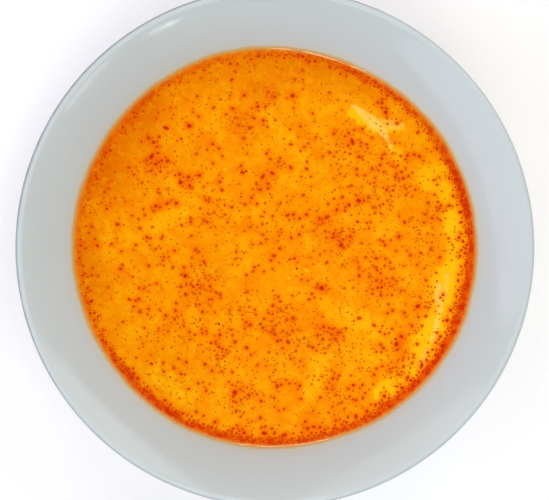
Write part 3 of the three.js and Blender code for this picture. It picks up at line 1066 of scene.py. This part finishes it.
def soup_piece(drops, heats):
    """The soup: its skin, and the hidden side and underside that close it."""
    angles = spokes(SOUP_SEGMENTS)
    skin = skin_rings(angles)
    rings = np.concatenate([skin, side_rings(angles)])
    middle = skin_height(np.zeros(1), np.zeros(1))[0]
    points = np.concatenate([rings.reshape(-1, 3), [(0, 0, middle), (0, 0, FLOOR_HEIGHT + WALL_GAP)]])
    faces, corner_rings, corner_spokes = flipped(*turned_faces(len(rings), SOUP_SEGMENTS))
    uv = soup_uv(points, faces, corner_rings, corner_spokes, len(skin))
    values = soup_values(points[:, 0], points[:, 1], drops, heats)
    piece = mesh_piece("soup_body", points, faces, uv, values)
    open_skin = soup_material("tripe_soup", roughness=0.22, shine=0.3, sheen=SOUP_SHEEN)
    wet_edge = soup_material("broth_at_the_wall", roughness=0.07, shine=0.7, sheen=BROTH_SHEEN)
    piece.data.materials.append(open_skin)
    piece.data.materials.append(wet_edge)
    piece.data.polygons.foreach_set("material_index", wet_faces(angles, len(skin), len(rings)))
    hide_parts("soup")
    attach(piece, BODY)


def soup_and_drops():
    """The soup and everything that floats on it."""
    random = np.random.default_rng(SEED)
    room = Room()
    large = large_drops()
    for x, y, radius, stretch, heading in large:
        room.take(x, y, radius * stretch)
    beside = partial(place_beside, drops=large[:BESIDE_COUNT])
    ring = scatter(random, room, [place_in_ring], (1,), **RING_DROPS)
    small = scatter(random, room, [place_in_open, place_in_crowd, beside], SMALL_SHARES, **SMALL_DROPS)
    specks = scatter(random, room, [place_in_open, place_in_crowd, place_in_ring], SPECK_SHARES, **SPECKS)
    crumbs = scatter(random, room, [place_in_open], (1,), **CRUMBS)
    dark = np.array([
        (x, y, DARK_SPECK_RADIUS, DARK_SPECK_STRETCH, DARK_SPECK_HEADING) for x, y in DARK_SPECKS
    ])

    # How strongly each drop colours the soup round it: the named flakes most of all.
    large_heat = 1 - LARGE_HEAT_SPREAD * random.random(len(large))
    ring_heat = random.random(len(ring))
    small_heat = random.random(len(small))
    large_heat[:len(BIG_FLAKES)] = 1
    soup_piece(np.concatenate([large, ring, small]), np.concatenate([large_heat, ring_heat, small_heat]))

    oil = drop_material("chilli_oil_drop", OIL_TONES, roughness=0.22)
    thin_oil = drop_material("small_oil_drop", SMALL_OIL_TONES, roughness=0.3)
    pepper = drop_material("ground_pepper", PEPPER_TONES, roughness=0.5)
    dark_pepper = drop_material("dark_pepper", DARK_PEPPER_TONES, roughness=0.5)
    crumb = drop_material("tripe_crumb", CRUMB_TONES, roughness=0.35)
    large[len(BIG_FLAKES):, 2] *= DROP_SEEN
    piece = drop_piece("chilli_drops_large", large, LARGE_DOME, 1 - large_heat, oil, random)
    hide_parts("soup")
    ring_tints = (1 - ring_heat) * RING_TINT_SPREAD
    drop_piece("chilli_drops_ring", ring, SMALL_DOME, ring_tints, oil, random)
    drop_piece("chilli_drops_small", small, SMALL_DOME, 1 - small_heat, thin_oil, random)
    speck_tints = random.random(len(specks))
    drop_piece("pepper_specks", specks, SPECK_DOME, speck_tints, pepper, random)
    drop_piece("pepper_flakes_dark", dark, SPECK_DOME, np.zeros(len(dark)), dark_pepper, random)
    crumb_tints = random.random(len(crumbs))
    drop_piece("tripe_crumbs", crumbs, CRUMB_DOME, crumb_tints, crumb, random)


# ======== The studio ========

def floor():
    half = FLOOR_HALF
    corners = [(-half, -half, 0), (half, -half, 0), (half, half, 0), (-half, half, 0)]
    piece = mesh_piece("pale_floor", corners, [(0, 1, 2, 3)])
    piece.data.materials.append(floor_material())


def pointed(place_mm, aim_mm, top="Y"):
    """The matrix of something at a place that looks at another, with its top towards an axis."""
    place, aim = Vector(place_mm) * MM, Vector(aim_mm) * MM
    forward = (aim - place).normalized()
    right = forward.cross(Vector(float(axis == top) for axis in "XYZ")).normalized()
    up = right.cross(forward)
    matrix = Matrix((right, up, -forward)).transposed().to_4x4()
    matrix.translation = place
    return matrix


def camera():
    data = bpy.data.cameras.new("camera")
    data.lens = LENS
    data.sensor_width = SENSOR
    data.clip_start = CLIP_START_M
    thing = bpy.data.objects.new("camera", data)
    thing.matrix_world = pointed(CAMERA_PLACE, CAMERA_AIM)
    bpy.context.scene.collection.objects.link(thing)
    bpy.context.scene.camera = thing


def lights():
    """Soft lights at one distance, all aimed at the middle of the soup."""
    for name, direction, rise, width, height, watts, colour in LIGHTS:
        data = bpy.data.lights.new(name, "AREA")
        data.shape = "ELLIPSE"
        data.size = width * MM
        data.size_y = height * MM
        data.energy = watts
        data.color = colour
        thing = bpy.data.objects.new(name, data)
        x, y = on_circle(LIGHT_DISTANCE * math.cos(radians(rise)), radians(direction))
        up = LIGHT_DISTANCE * math.sin(radians(rise))
        thing.matrix_world = pointed((x, y, up), (0, 0, SOUP_LEVEL), "Z")
        thing.visible_camera = False
        thing.visible_glossy = name != UNREFLECTED_LIGHT
        bpy.context.scene.collection.objects.link(thing)


def world():
    sky = bpy.data.worlds.new("studio")
    sky.use_nodes = True
    background = sky.node_tree.nodes["Background"]
    background.inputs["Color"].default_value = SKY_COLOUR
    background.inputs["Strength"].default_value = SKY_STRENGTH
    bpy.context.scene.world = sky


bpy.context.scene.view_settings.view_transform = "Standard"
camera()
bowl_piece()
soup_and_drops()
floor()
lights()
world()
